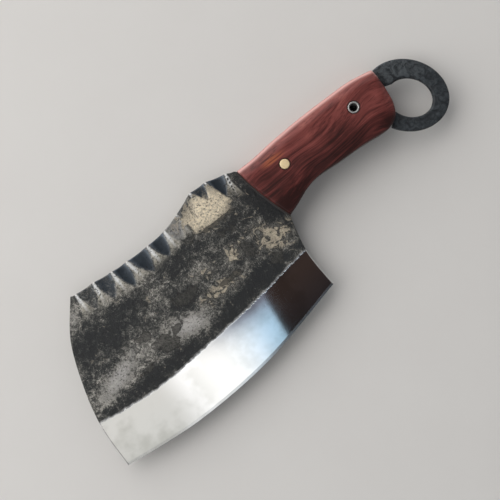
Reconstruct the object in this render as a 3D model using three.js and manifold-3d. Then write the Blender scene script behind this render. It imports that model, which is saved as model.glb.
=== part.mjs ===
// A hand-forged meat cleaver: one steel forging that is blade, full tang and finger ring, with two
// hardwood scales bonded to the tang, a solid brass pin and a hollow steel lanyard tube.
//
// Units are millimetres. +X runs along the tang from the blade's front end to the ring, +Y from the
// cutting edge to the spine, +Z through the thickness. The cleaver lies on its side, and the origin is
// below the middle of its bounding box, on the surface that it lies on.

import * as THREE from "three";
import { mergeVertices } from "three/addons/utils/BufferGeometryUtils.js";
import Module from "manifold-3d";

const wasm = await Module();
wasm.setup();

// ---- Thicknesses ----
const STEEL_HALF = 2; // half the thickness of the blade's flats, the tang and the ring
const BOND_THICKNESS = 0.25; // glue line between the tang and each scale
const SCALE_THICKNESS = 8.5; // each scale, at its flat land
const MID_PLANE = STEEL_HALF + BOND_THICKNESS + SCALE_THICKNESS; // height of the blade's mid-plane

// Middle of the whole outline, which is drawn round a point in the blade and moved to the origin.
const CENTRE = [1.48, -0.3];

// ---- Blade outline ----
const BLADE_TIP = [-145, -53]; // corner of the front end and the cutting edge
const HEEL = [20.3, -40]; // corner of the cutting edge and the choil
const EDGE_BELLY = [
  [-94, -57.2],
  [-38, -53.3],
]; // the cutting edge's own points between those corners
const FRONT_END = [
  [-127.9, 27.5],
  [-138.9, -1.8],
  [-144.2, -27],
]; // the front end's curve, from the spine down
const CHOIL = [
  [19.2, -17],
  [22.2, 1],
]; // the curve from the heel up to the handle
// Ridges left standing along the spine between the hammered dents, from the front end to the handle.
const SPINE_RIDGES = [
  [-108.3, 49.1],
  [-95.3, 48.4],
  [-82.7, 46.9],
  [-72, 46.4],
  [-56, 46.4],
  [-42.4, 47.5],
  [-31, 50.7],
  [-16.5, 56.6],
  [-5, 56.2],
  [8, 52.9],
];
const SPINE_FRONT = [-111.5, 49.8]; // corner of the spine and the front end
const SPINE_BACK = [13, 50.8]; // where the spine meets the scales
const SPINE_DIP = 0.4; // how far the spine sinks between two ridges

// ---- Bevels ----
const GRIND_LINE = [
  [-145, -22.3],
  [-105, -26],
  [-66, -23.6],
  [-22, -19],
  [21, -12.4],
]; // where the flats end and the ground bevel starts
const BEVEL_EDGE_HALF = 0.45; // half thickness that the ground bevel runs out to at the edge
const HONED_SHARE = 0.03; // share of the bevel's width that is honed again at the edge
const HONED_HALF = 0.12; // half thickness of the cutting edge itself
const BEVEL_STATIONS = 24;
const BEVEL_OVERRUN = 8; // how far the bevel cutters run past the blade's ends
const CUTTER_OUTSIDE = -0.2; // share of the bevel's width that a cutter runs past the edge
const CUTTER_INSIDE = 1.04; // and past the grind line
const CUTTER_TOP = 3 * STEEL_HALF;

// ---- Hammered dents ----
const DENT_DEPTH_SHARE = 0.075; // depth at the spine, as a share of the dent's width
const DENT_REACH = 15; // how far a dent runs in from the spine
const DENT_LEAN = 0.08; // sideways lean of a dent over its reach
const DENT_CUTTER_LENGTH = 60;
const DENT_SIDES = 72;

// ---- Handle outline, shared by the tang, the glue lines and the scales ----
const HANDLE_TOP = [
  [14.5, 49.3],
  [26, 49.5],
  [42, 51],
  [62, 52.1],
  [84, 52.3],
  [100, 51.9],
  [115.4, 49.3],
];
const HANDLE_BOTTOM = [
  [24.6, 9.1],
  [32, 11.6],
  [42, 15.6],
  [52, 17.5],
  [68, 16.8],
  [84, 16.3],
  [98, 15],
  [104.2, 15.2],
  [110.8, 19.2],
  [114.3, 26.8],
  [115.4, 37.4],
];
const FRONT_BOW = 1.3; // how far the scales' front end bulges towards the blade

// ---- Ring, a forged bar curled round to the butt ----
const RING_OUTER = { centre: [124.5, 24.8], radii: [26.2, 21.6], tilt: -51.8 };
const RING_INNER = { centre: [125.2, 22.3], radii: [14.1, 11.5], tilt: -54.2 };
const RING_INNER_START = [121.5, 35.7]; // where the ring's opening turns into the root
const RING_END = { outer: [105.4, 14.2], inner: [112.9, 20.8] }; // where the curl closes on the butt

// ---- Scales ----
const SCALE_WALL = 4.2; // straight side wall of a scale, up from the tang
const SCALE_ROUND = 3; // rounded edge above that wall
const SCALE_SHOULDER = 6.8; // height at the inner side of the rounded edge
const CROWN_TOP = 8; // distance from the top edge to the flat land
const CROWN_BOTTOM = 13; // distance from the bottom edge to the flat land
const FRONT_CHAMFER = 1.2;
const BUTT_ROUND = 2.5;
const STATIONS_ALONG = 34;
const STATIONS_ACROSS = 16;
const CROWDING = 0.8; // how strongly those stations crowd towards the ends, from 0 to 1

// ---- Pins ----
const BRASS_PIN = { at: [39.6, 35.4], radius: 3 };
const LANYARD_TUBE = { at: [92.6, 37.6], radius: 3.5, bore: 2.5 };
const PIN_GAP = 0.15; // glue gap round a pin in its hole
const PIN_CHAMFER = 0.25;
const DRILL_LENGTH = 40;
const ROUND_SEGMENTS = 40;

const BOND_FRONT_BEAD = 1.2; // glue squeezed out in front of the scales
const CURVE_SEGMENTS = 5;
const RING_SEGMENTS = 36;

// ---- Materials ----
const forgedSteel = new THREE.MeshStandardMaterial({ color: 0x33363a, roughness: 0.45, metalness: 1 });
const rosewood = new THREE.MeshStandardMaterial({ color: 0x6b2a28, roughness: 0.45, metalness: 0 });
const brass = new THREE.MeshStandardMaterial({ color: 0xd9b45a, roughness: 0.3, metalness: 1 });
const tubeSteel = new THREE.MeshStandardMaterial({ color: 0xb9bcc0, roughness: 0.3, metalness: 1 });
const epoxy = new THREE.MeshStandardMaterial({ color: 0x1d1a18, roughness: 0.35, metalness: 0 });

// ---- Small helpers ----
const point = ([x, y]) => new THREE.Vector2(x, y);
const spline = (points) => new THREE.SplineCurve(points.map(point));

function named(name, geometry, material) {
  geometry.computeVertexNormals();
  const mesh = new THREE.Mesh(geometry, material);
  mesh.name = name;
  return mesh;
}

function toSolid(geometry) {
  const bare = new THREE.BufferGeometry();
  const flat = geometry.index ? geometry.toNonIndexed() : geometry;
  bare.setAttribute("position", flat.getAttribute("position"));
  const merged = mergeVertices(bare, 1e-4);
  return new wasm.Manifold(
    new wasm.Mesh({
      numProp: 3,
      vertProperties: merged.attributes.position.array,
      triVerts: new Uint32Array(merged.index.array),
    }),
  );
}

function toGeometry(solid) {
  const mesh = solid.getMesh();
  const geometry = new THREE.BufferGeometry();
  geometry.setAttribute("position", new THREE.BufferAttribute(mesh.vertProperties, 3));
  geometry.setIndex(new THREE.BufferAttribute(mesh.triVerts, 1));
  return geometry.toNonIndexed();
}

// A closed geometry from rings of points: each ring is a closed section, and the two end rings are capped.
function loft(rings) {
  const count = rings[0].length;
  const positions = rings.flat().flat();
  const faces = [];
  for (let i = 0; i + 1 < rings.length; i++) {
    for (let j = 0; j < count; j++) {
      const a = i * count + j;
      const b = i * count + ((j + 1) % count);
      faces.push(a, b, b + count, a, b + count, a + count);
    }
  }
  const last = (rings.length - 1) * count;
  for (let j = 1; j + 1 < count; j++) {
    faces.push(0, j + 1, j);
    faces.push(last, last + j, last + j + 1);
  }
  const geometry = new THREE.BufferGeometry();
  geometry.setAttribute("position", new THREE.Float32BufferAttribute(positions, 3));
  geometry.setIndex(faces);
  return geometry;
}

function plate(shape, thickness) {
  const options = { depth: thickness, bevelEnabled: false, curveSegments: CURVE_SEGMENTS };
  return new THREE.ExtrudeGeometry(shape, options);
}

function pinHole({ at, radius }) {
  const drill = radius + PIN_GAP;
  const geometry = new THREE.CylinderGeometry(drill, drill, DRILL_LENGTH, ROUND_SEGMENTS);
  geometry.rotateX(Math.PI / 2);
  geometry.translate(at[0], at[1], 0);
  return toSolid(geometry);
}

const drilled = (solid) => solid.subtract(pinHole(BRASS_PIN)).subtract(pinHole(LANYARD_TUBE));

// The angle on an ellipse at which it comes nearest to a point, in the ellipse's own turned frame.
function ellipseAngle({ centre, radii, tilt }, [x, y]) {
  const turned = new THREE.Vector2(x - centre[0], y - centre[1]);
  turned.rotateAround(new THREE.Vector2(), -THREE.MathUtils.degToRad(tilt));
  return Math.atan2(turned.y / radii[1], turned.x / radii[0]);
}

function addRingArc(path, ellipse, from, to, clockwise) {
  const { centre, radii, tilt } = ellipse;
  const start = ellipseAngle(ellipse, from);
  const end = ellipseAngle(ellipse, to);
  const turn = THREE.MathUtils.degToRad(tilt);
  const arc = new THREE.EllipseCurve(...centre, ...radii, start, end, clockwise, turn);
  arc.getPoints(RING_SEGMENTS).forEach(({ x, y }) => path.lineTo(x, y));
}

// ---- The forging ----
function forgingOutline() {
  const shape = new THREE.Shape();
  shape.moveTo(...BLADE_TIP);
  shape.splineThru([...EDGE_BELLY, HEEL].map(point));
  shape.splineThru([...CHOIL, HANDLE_BOTTOM[0]].map(point));
  shape.splineThru(HANDLE_BOTTOM.slice(1).map(point));
  addRingArc(shape, RING_INNER, RING_INNER_START, RING_END.inner, true);
  addRingArc(shape, RING_OUTER, RING_END.outer, HANDLE_TOP[HANDLE_TOP.length - 1], false);
  shape.splineThru([...HANDLE_TOP].reverse().map(point));
  shape.lineTo(...SPINE_BACK);
  addSpine(shape);
  shape.splineThru([...FRONT_END, BLADE_TIP].map(point));
  return shape;
}

function addSpine(shape) {
  let from = SPINE_BACK;
  for (const to of [...SPINE_RIDGES].reverse().concat([SPINE_FRONT])) {
    const middle = [(from[0] + to[0]) / 2, (from[1] + to[1]) / 2];
    shape.quadraticCurveTo(middle[0], middle[1] - 2 * SPINE_DIP, ...to);
    from = to;
  }
}

// Takes off one side of the blade between an inner line and the cutting edge, as a ruled surface.
function bevelCutter(innerLine, innerHalf, edgeLine, edgeHalf) {
  const rings = [];
  for (let i = 0; i <= BEVEL_STATIONS; i++) {
    const inner = innerLine(i / BEVEL_STATIONS);
    const edge = edgeLine(i / BEVEL_STATIONS);
    const along = (share, half) => [
      edge.x + (inner.x - edge.x) * share,
      edge.y + (inner.y - edge.y) * share,
      half,
    ];
    const rise = innerHalf - edgeHalf;
    rings.push([
      along(CUTTER_OUTSIDE, edgeHalf + rise * CUTTER_OUTSIDE),
      along(CUTTER_INSIDE, edgeHalf + rise * CUTTER_INSIDE),
      along(CUTTER_INSIDE, CUTTER_TOP),
      along(CUTTER_OUTSIDE, CUTTER_TOP),
    ]);
  }
  return toSolid(loft(rings));
}

const overrun = (points) => {
  const first = points[0];
  const last = points[points.length - 1];
  return spline([[first[0] - BEVEL_OVERRUN, first[1]], ...points, [last[0] + BEVEL_OVERRUN, last[1]]]);
};

function bevelCutters() {
  const grind = overrun(GRIND_LINE);
  const edge = overrun([BLADE_TIP, ...EDGE_BELLY, HEEL]);
  const grindAt = (t) => grind.getPointAt(t);
  const edgeAt = (t) => edge.getPointAt(t);
  const honedAt = (t) => edgeAt(t).lerp(grindAt(t), HONED_SHARE);
  const honedHalf = BEVEL_EDGE_HALF + (STEEL_HALF - BEVEL_EDGE_HALF) * HONED_SHARE;
  return [
    bevelCutter(grindAt, STEEL_HALF, edgeAt, BEVEL_EDGE_HALF),
    bevelCutter(honedAt, honedHalf, edgeAt, HONED_HALF),
  ];
}

// One dent between two ridges: a cylinder laid across the spine and tilted, so that the hollow runs
// out inwards.
function dentCutter(from, to) {
  const width = Math.hypot(to[0] - from[0], to[1] - from[1]);
  const depth = DENT_DEPTH_SHARE * width;
  const radius = (width * width) / (8 * depth) + depth / 2;
  const geometry = new THREE.CylinderGeometry(radius, radius, DENT_CUTTER_LENGTH, DENT_SIDES);
  geometry.rotateX(-Math.atan(depth / DENT_REACH));
  geometry.rotateZ(-Math.atan(DENT_LEAN));
  const middle = [(from[0] + to[0]) / 2, (from[1] + to[1]) / 2];
  geometry.translate(middle[0], middle[1], STEEL_HALF - depth + radius);
  return toSolid(geometry);
}

function forging() {
  let solid = drilled(toSolid(plate(forgingOutline(), 2 * STEEL_HALF).translate(0, 0, -STEEL_HALF)));
  const cutters = bevelCutters();
  SPINE_RIDGES.slice(1).forEach((ridge, i) => cutters.push(dentCutter(SPINE_RIDGES[i], ridge)));
  for (const cutter of cutters) {
    solid = solid.subtract(cutter).subtract(cutter.mirror([0, 0, 1]));
  }
  return toGeometry(solid);
}

// ---- The scales ----
// Height of a scale at a distance in from its long edge, where the crown ends at a flat land.
function sideHeight(distance, landAt) {
  if (distance < SCALE_ROUND) {
    const share = distance / SCALE_ROUND;
    return SCALE_WALL + (SCALE_SHOULDER - SCALE_WALL) * Math.sqrt(1 - (1 - share) ** 2);
  }
  const share = Math.min(1, (distance - SCALE_ROUND) / (landAt - SCALE_ROUND));
  return SCALE_SHOULDER + (SCALE_THICKNESS - SCALE_SHOULDER) * (2 - share) * share;
}

const frontBow = (share) => 4 * FRONT_BOW * share * (1 - share);

function endDrop(distance, size) {
  const share = Math.min(1, distance / size);
  return size * (1 - Math.sqrt(1 - (1 - share) ** 2));
}

// Stations crowd towards both ends, where the surface turns fastest.
const crowded = (t) => t + (THREE.MathUtils.smoothstep(t, 0, 1) - t) * CROWDING;

function scaleBlank() {
  const top = spline(HANDLE_TOP);
  const bottom = spline(HANDLE_BOTTOM);
  const length = top.getLength();
  const rings = [];
  for (let i = 0; i <= STATIONS_ALONG; i++) {
    const s = crowded(i / STATIONS_ALONG);
    const from = top.getPointAt(s);
    const to = bottom.getPointAt(s);
    const width = from.distanceTo(to);
    const drop = endDrop(s * length, FRONT_CHAMFER) + endDrop((1 - s) * length, BUTT_ROUND);
    const upper = [];
    const lower = [];
    for (let j = 0; j <= STATIONS_ACROSS; j++) {
      const w = crowded(j / STATIONS_ACROSS);
      const at = from.clone().lerp(to, w);
      at.x -= frontBow(w) * (1 - s);
      const height = Math.min(sideHeight(w * width, CROWN_TOP), sideHeight((1 - w) * width, CROWN_BOTTOM));
      upper.push([at.x, at.y, Math.max(SCALE_WALL, height) - drop]);
      lower.unshift([at.x, at.y, 0]);
    }
    rings.push([...upper, ...lower]);
  }
  return toSolid(loftFlat(rings));
}

// Like loft, but the end caps are strips between the upper and the lower line of the section.
function loftFlat(rings) {
  const geometry = loft(rings);
  const count = rings[0].length;
  const half = count / 2;
  const index = [...geometry.index.array].slice(0, (rings.length - 1) * count * 6);
  const last = (rings.length - 1) * count;
  for (let j = 0; j + 1 < half; j++) {
    const a = j;
    const b = j + 1;
    const c = count - 1 - b;
    const d = count - 1 - a;
    index.push(a, c, b, a, d, c);
    index.push(last + a, last + b, last + c, last + a, last + c, last + d);
  }
  geometry.setIndex(index);
  return geometry;
}

// ---- The glue lines ----
function bondFilm() {
  const [top, bottom] = [HANDLE_TOP[0], HANDLE_BOTTOM[0]].map(([x, y]) => [x - BOND_FRONT_BEAD, y]);
  const middle = [(top[0] + bottom[0]) / 2 - 2 * FRONT_BOW, (top[1] + bottom[1]) / 2];
  const shape = new THREE.Shape();
  shape.moveTo(...top);
  shape.quadraticCurveTo(...middle, ...bottom);
  shape.lineTo(...HANDLE_BOTTOM[0]);
  shape.splineThru(HANDLE_BOTTOM.slice(1).map(point));
  shape.lineTo(...HANDLE_TOP[HANDLE_TOP.length - 1]);
  shape.splineThru(HANDLE_TOP.slice(0, -1).reverse().map(point));
  return toGeometry(drilled(toSolid(plate(shape, BOND_THICKNESS))));
}

// ---- The pins ----
// A pin or tube turned round its own axis, with both ends chamfered and flush with the scales.
function turned({ at, radius, bore = 0 }) {
  const end = [
    [bore, MID_PLANE],
    [radius - PIN_CHAMFER, MID_PLANE],
    [radius, MID_PLANE - PIN_CHAMFER],
  ];
  const otherEnd = end.map(([x, y]) => [x, -y]);
  const profile = [...otherEnd, ...end.reverse()];
  if (bore > 0) profile.push(otherEnd[0]);
  const geometry = new THREE.LatheGeometry(profile.map(point), ROUND_SEGMENTS);
  return geometry.rotateX(Math.PI / 2).translate(at[0], at[1], 0);
}

// ---- The assembly ----
const upperScale = drilled(scaleBlank()).translate([0, 0, STEEL_HALF + BOND_THICKNESS]);
const film = bondFilm();

const cleaver = new THREE.Group();
cleaver.position.set(-CENTRE[0], -CENTRE[1], MID_PLANE);
cleaver.add(
  named("forged_blade", forging(), forgedSteel),
  named("upper_scale", toGeometry(upperScale), rosewood),
  named("lower_scale", toGeometry(upperScale.mirror([0, 0, 1])), rosewood),
  named("upper_glue_line", film.clone().translate(0, 0, STEEL_HALF), epoxy),
  named("lower_glue_line", film.clone().translate(0, 0, -STEEL_HALF - BOND_THICKNESS), epoxy),
  named("brass_pin", turned(BRASS_PIN), brass),
  named("lanyard_tube", turned(LANYARD_TUBE), tubeSteel),
);

export default cleaver;
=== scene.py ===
"""Looks of the hand-forged meat cleaver: forging, wood scales, glue lines, brass pin and lanyard tube."""

import math

import bmesh
import bpy
import numpy as np
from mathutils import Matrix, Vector
from mathutils import noise as mnoise


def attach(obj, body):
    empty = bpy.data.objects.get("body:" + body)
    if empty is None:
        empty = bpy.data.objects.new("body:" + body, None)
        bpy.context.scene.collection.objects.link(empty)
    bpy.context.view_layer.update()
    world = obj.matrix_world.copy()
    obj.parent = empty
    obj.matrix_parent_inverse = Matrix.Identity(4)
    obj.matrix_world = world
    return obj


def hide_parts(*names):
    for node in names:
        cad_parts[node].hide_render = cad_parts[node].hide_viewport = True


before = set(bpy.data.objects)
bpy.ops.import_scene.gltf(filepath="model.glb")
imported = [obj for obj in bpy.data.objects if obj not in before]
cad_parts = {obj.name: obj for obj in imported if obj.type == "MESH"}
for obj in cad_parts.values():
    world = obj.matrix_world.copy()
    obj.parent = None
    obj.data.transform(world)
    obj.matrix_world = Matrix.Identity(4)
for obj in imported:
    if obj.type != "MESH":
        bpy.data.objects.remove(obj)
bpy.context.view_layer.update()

MM = 0.001
CENTRE = np.array([1.48, -0.3])  # the outlines' own point that lies over the origin, in mm
MID_PLANE = 10.75  # height of the blade's mid-plane, in mm

# ---------------------------------------------------------------- dimensions, mm, as in the CAD
STEEL_HALF = 2.0
SCALE_BASE = STEEL_HALF + 0.25  # a scale's inner face above the mid-plane
SCALE_THICKNESS = 8.5
BLADE_TIP = (-145, -53)
HEEL = (20.3, -40)
EDGE_BELLY = [(-94, -57.2), (-38, -53.3)]
FRONT_END = [(-127.9, 27.5), (-138.9, -1.8), (-144.2, -27)]
CHOIL = [(19.2, -17), (22.2, 1)]
SPINE_FRONT = (-111.5, 49.8)
SPINE_BACK = (13, 50.8)
SPINE_DIP = 0.4
HANDLE_TOP = [(14.5, 49.3), (26, 49.5), (42, 51), (62, 52.1), (84, 52.3), (100, 51.9), (115.4, 49.3)]
HANDLE_BOTTOM = [
    (24.6, 9.1),
    (32, 11.6),
    (42, 15.6),
    (52, 17.5),
    (68, 16.8),
    (84, 16.3),
    (98, 15),
    (104.2, 15.2),
    (110.8, 19.2),
    (114.3, 26.8),
    (115.4, 37.4),
]
FRONT_BOW = 1.3
# centre, half lengths and tilt in degrees of the ring's two ellipses
RING_OUTER = ((124.5, 24.8), (26.2, 21.6), -51.8)
RING_INNER = ((125.2, 22.3), (14.1, 11.5), -54.2)
RING_INNER_START = (121.5, 35.7)
RING_END_OUTER = (105.4, 14.2)
RING_END_INNER = (112.9, 20.8)
GRIND_LINE = [(-143.6, -22.1), (-105, -26), (-66, -23.6), (-22, -19), (19.4, -12.7)]
BEVEL_EDGE_HALF = 0.45
HONED_HALF = 0.12
SCALE_WALL = 4.2
SCALE_ROUND = 3.0
SCALE_SHOULDER = 6.8
CROWN_TOP = 8.0
CROWN_BOTTOM = 13.0
FRONT_CHAMFER = 1.2
BUTT_ROUND = 2.5
BRASS_PIN = ((39.6, 35.4), 3.0)
LANYARD_TUBE = ((92.6, 37.6), 3.5)
TUBE_BORE = 2.5
PIN_GAP = 0.15
GLUE_FRONT_BEAD = 1.2

# ---------------------------------------------------------------- finer shapes of the looks alone, mm
# each ridge between two hammered dents: its point on the spine, as in the CAD, and where it runs out
RIDGES = [
    (-108.3, 49.1, -108.0, 33.0),
    (-95.3, 48.4, -97.5, 32.5),
    (-82.7, 46.9, -82.5, 30.0),
    (-72.0, 46.4, -68.5, 30.5),
    (-56.0, 46.4, -54.5, 30.5),
    (-42.4, 47.5, -42.0, 34.0),
    (-31.0, 50.7, -30.0, 34.5),
    (-16.5, 56.6, -14.0, 46.5),
    (-5.0, 56.2, -4.5, 45.5),
    (8.0, 52.9, 5.5, 35.5),
]
# depth of the dent between each ridge and the next
DENT_DEPTHS = [0.6, 0.75, 1.0, 1.1, 1.1, 0.35, 0.45, 0.9, 1.0]
# how dark it is: its oxide, deepened with painted shade
DENT_SHADES = [0.4, 0.6, 0.95, 1.0, 1.0, 0.42, 0.42, 0.66, 1.0]
RIDGE_SHARE = 0.12  # share of the room between two dents that their ridge takes at the spine
RIDGE_GAIN = 0.86  # and how much more of it where the dents run out
DENT_REACH = 16.0  # how far in from the spine a dent runs where no two ridges set it
END_RIDGE_WIDTH = 6  # room that the first and the last ridge take on their outer sides
HAMMER_DEPTH = 0.16
PEEN_DEPTH = 0.06  # the smaller marks among the hammer's
HAMMER_ROWS = 7  # mesh rows above the grind line over which the marks come in
GRIND_SOFTNESS = 2.5
HONED_SHARE = 0.05  # share of the bevel's width, more than in the CAD so that it shows
HONED_TOP_HALF = 0.5  # half thickness at the honed band's upper side
FRONT_END_ROUND = 0.55
CHOIL_ROUND = 0.5
SPINE_ROUND = 0.8
TANG_EDGE_DROP = 0.12
RING_INNER_ROUND = 1.5
RING_OUTER_ROUND = 1.1
RING_DIMPLE = 0.22
RING_LEAST_HALF = 0.35
HIGHLIGHT_WIDTH = 1.2  # of the painted highlight along a scale's top edge, and along the upper part of its butt
HIGHLIGHT_PLACE = 1.0  # how far in from the top edge it is strongest
GLUE_SHRINK = 0.04  # how far the glue lies in from the scales' sides
GLUE_BEAD = 0.1  # height over which its front rounds in
GLUE_INSET = 0.997  # size of its outer face, as a share of its outline's
PIN_END = SCALE_BASE + SCALE_THICKNESS  # the pins end flush with the scales' flat land
PIN_SHANK = 4  # height above and below the mid-plane of the extra points on a pin's straight side
STREAK = (34, 46.5)  # the middle of a lighter streak in the wood, in the frame
STREAK_REACH = 11
STREAK_STRETCH = 3.0  # how many times longer than wide it is

# ---------------------------------------------------------------- fineness of the meshes
CURVE_STEPS = 60  # for each stretch of a spline
ARC_STEPS = 160
BOW_STEPS = 24
BLADE_COLUMNS = 178
# distances from a rounded rim, in mm, that get rows of their own
BLADE_RIM = (0.06, 0.16, 0.3, 0.5, 0.75, 1.2)
BEVEL_WIDTH = 33  # a middling one, which the rows near the edge are set for
BEVEL_ROWS = 30
HONED_ROW = HONED_SHARE * BEVEL_WIDTH
EDGE_RIM = (0.3, 0.8, 1.3, HONED_ROW - 0.01, HONED_ROW + 0.01)
CHOIL_ROWS = 26  # from the grind line up to the wood
WOOD_ROWS = 48  # from there to the spine
TANG_STATIONS = 90
RING_STATIONS = 190
GLUE_STATIONS = 160
SCALE_COLUMNS = 130
SCALE_ROWS = 44
SCALE_DEPTH = 35  # a middling depth of the handle, which the rows near its rims are set for
SCALE_RIM = (0.08, 0.25, 0.5, 0.85, 1.3, 1.9, 2.6, 3.4)
ROUND_SEGMENTS = 96
DRILL_LENGTH = 60
SHARP_ANGLE = 35  # in degrees: edges that turn by more than this aren't smoothed

# ---------------------------------------------------------------- worn places on the forge scale
# centre x and y, half sizes, turn in degrees, strength
# the gold patches' warm cream tone is partly a painted reflection of warm light
GOLD_PATCHES = [
    (-14.5, 42.5, 15.5, 9.8, 0, 1.25),
    (-17, 11, 6, 5, 20, 0.6),
    (-34, -1, 14, 4.5, 8, 0.55),
    (9, 5, 12, 8, -15, 0.66),
    (-9.5, 15, 3.5, 2, 0, 0.5),
    (3, 14, 8, 3.5, -25, 0.45),
    (-38, 12, 12, 5, 0, 0.3),
]
PALE_PATCHES = [
    (-117, -7, 21, 7, 20, 1.0),
    (-64, -7, 15, 7, -10, 1.05),
    (-94, -5, 13, 4, 5, 0.5),
    (-44, 16, 12, 7, 0, 0.35),
    (-66, 26, 9, 6, 0, 0.4),
    (14, -2, 8, 6, 0, 0.4),
    (-119, 38, 7, 6, 40, 0.7),
    (-36, 43, 7.5, 7, 0, 1.1),
    (-104, 36, 26, 4, 0, 0.3),
    (-70, 12, 12, 6, 0, 0.25),
]
DARK_PATCHES = [
    (-90, -20, 40, 4.5, 2, 1.0),
    (-22, -13.5, 36, 4.5, 6, 1.0),
    (-112, 14, 18, 15, 0, 0.7),
    (-86, 24, 16, 6, 0, 0.6),
    (-50, 26, 16, 6, 0, 0.7),
    (-56, 6, 10, 6, 0, 0.9),
    (-4, 26, 10, 8, 0, 0.7),
    (-12, -8, 14, 4, 0, 0.7),
    (16, 25, 7, 22, 8, 1.0),
]
# flakes of scale still in place, smooth and dark-rimmed
FLAKES = [
    (-82, -8, 9, 5, -15, 1.0),
    (-72, -4, 6, 2.5, 10, 0.9),
    (-90, 4, 6, 4, 0, 0.8),
    (-56, 8, 9, 5, 0, 1.0),
    (-25, 0.5, 10, 2, 3, 0.9),
    (-8, 8, 4, 6, 10, 1.0),
    (3, -7, 5, 4, 30, 0.9),
    (-12, 32.5, 16, 1.5, 0, 0.9),
    (-12, 25, 8, 3, -10, 0.8),
    (-34, 34, 5, 3, 0, 0.8),
    (-100, -14, 6, 2, 5, 0.7),
]

# ---------------------------------------------------------------- camera
CAMERA_HEIGHT = 0.55  # above the blade's mid-plane, in metres
VIEW_CENTRE = (-0.00918, 0.0072)
CAMERA_TURN = -37  # in degrees
LENS = 65.3  # in mm


# ---------------------------------------------------------------- curves
def catmull(points):
    """The same spline as the CAD's: every point is passed through."""
    p = np.array(points, float)
    out = []
    for i in range(len(p) - 1):
        before = p[max(i - 1, 0)]
        after = p[min(i + 2, len(p) - 1)]
        v0 = (p[i + 1] - before) / 2
        v1 = (after - p[i]) / 2
        t = np.linspace(0, 1, CURVE_STEPS, endpoint=False)[:, None]
        out.append(
            (2 * p[i] - 2 * p[i + 1] + v0 + v1) * t**3
            + (-3 * p[i] + 3 * p[i + 1] - 2 * v0 - v1) * t**2
            + v0 * t
            + p[i]
        )
    return np.vstack(out + [p[-1:]])


def bow(start, middle, finish, t):
    """A bow from start to finish that bends towards a point off its middle."""
    return (1 - t) ** 2 * start + 2 * t * (1 - t) * middle + t**2 * finish


def lengths(line):
    """Length of a line up to each of its points."""
    return np.concatenate([[0], np.cumsum(np.hypot(*np.diff(line, axis=0).T))])


def along(line, shares):
    """Points of a line at shares of its length."""
    length = lengths(line)
    at = np.asarray(shares) * length[-1]
    return np.stack([np.interp(at, length, line[:, 0]), np.interp(at, length, line[:, 1])], axis=1)


def split_at(line, point):
    """The two parts of a line before and after its point nearest to another one."""
    place = int(np.argmin(np.hypot(*(line - point).T)))
    return line[: place + 1], line[place:]


def ellipse_arc(ellipse, start, end):
    """An arc of an ellipse, clockwise from beside one point to beside another."""
    (cx, cy), (a, b), tilt = ellipse
    c, s = math.cos(math.radians(tilt)), math.sin(math.radians(tilt))

    def angle(point):
        dx, dy = point[0] - cx, point[1] - cy
        return math.atan2((-dx * s + dy * c) / b, (dx * c + dy * s) / a)

    first, last = angle(start), angle(end)
    if last > first:
        last -= 2 * math.pi
    t = np.linspace(first, last, ARC_STEPS)
    u, v = a * np.cos(t), b * np.sin(t)
    return np.stack([cx + u * c - v * s, cy + u * s + v * c], 1)


def spine_line():
    """The spine from the front end to the scales, dipping between the ridges."""
    stops = np.array([SPINE_FRONT] + [r[:2] for r in RIDGES] + [SPINE_BACK], float)
    t = np.linspace(0, 1, BOW_STEPS, endpoint=False)[:, None]
    dips = [bow(a, (a + b) / 2 - (0, 2 * SPINE_DIP), b, t) for a, b in zip(stops, stops[1:])]
    return np.vstack(dips + [[SPINE_BACK], [HANDLE_TOP[0]]])


def crowded(count, length, first=(), last=()):
    """Shares of a length: an even count of steps between the given distances from its ends, and one share at
    each of those distances."""
    low = first[-1] / length if first else 0
    high = 1 - last[-1] / length if last else 1
    start = [0] + [d / length for d in first[:-1]] if first else []
    finish = [1 - d / length for d in last[-2::-1]] + [1] if last else []
    return np.concatenate([start, np.linspace(low, high, count + 1), finish])


def fractal(x, y, size, seed):
    """Smooth noise from about -1 to 1 whose largest features are the given size in mm."""
    smoothness, gap, octaves = 0.9, 2.1, 3
    places = [Vector((a / size, b / size, seed)) for a, b in zip(x.ravel(), y.ravel())]
    return np.array([mnoise.fractal(p, smoothness, gap, octaves) for p in places]).reshape(x.shape)


def patches(x, y, table):
    """How strongly the places in a table reach each point: ellipses that fade out at their rims."""
    total = np.zeros_like(x)
    for cx, cy, rx, ry, turn, strength in table:
        c, s = math.cos(math.radians(turn)), math.sin(math.radians(turn))
        u = ((x - cx) * c + (y - cy) * s) / rx
        v = (-(x - cx) * s + (y - cy) * c) / ry
        total = np.maximum(total, strength * np.exp(-((u * u + v * v) ** 1.3) * 0.7))
    return total


# ---------------------------------------------------------------- mesh making
def in_frame(point, height):
    """A place in the frame, in metres, from a point of the outlines and a height above the floor, in mm."""
    return ((point[0] - CENTRE[0]) * MM, (point[1] - CENTRE[1]) * MM, height * MM)


def new_object(name, vertices, faces, attributes=None, sharp=SHARP_ANGLE):
    """A smooth-shaded object from points in mm round the mid-plane, in the outlines' own frame."""
    points = np.array(vertices, float) + (-CENTRE[0], -CENTRE[1], MID_PLANE)
    mesh = bpy.data.meshes.new(name)
    mesh.from_pydata((points * MM).tolist(), [], faces)
    for key, values in (attributes or {}).items():
        layer = mesh.attributes.new(key, "FLOAT", "POINT")
        layer.data.foreach_set("value", np.asarray(values, np.float32))
    mesh.polygons.foreach_set("use_smooth", [True] * len(mesh.polygons))
    mesh.validate()
    mesh.update()
    bm = bmesh.new()
    bm.from_mesh(mesh)
    bmesh.ops.recalc_face_normals(bm, faces=bm.faces)
    bm.to_mesh(mesh)
    bm.free()
    mesh.set_sharp_from_angle(angle=math.radians(sharp))
    obj = bpy.data.objects.new(name, mesh)
    bpy.context.scene.collection.objects.link(obj)
    return obj


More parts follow.
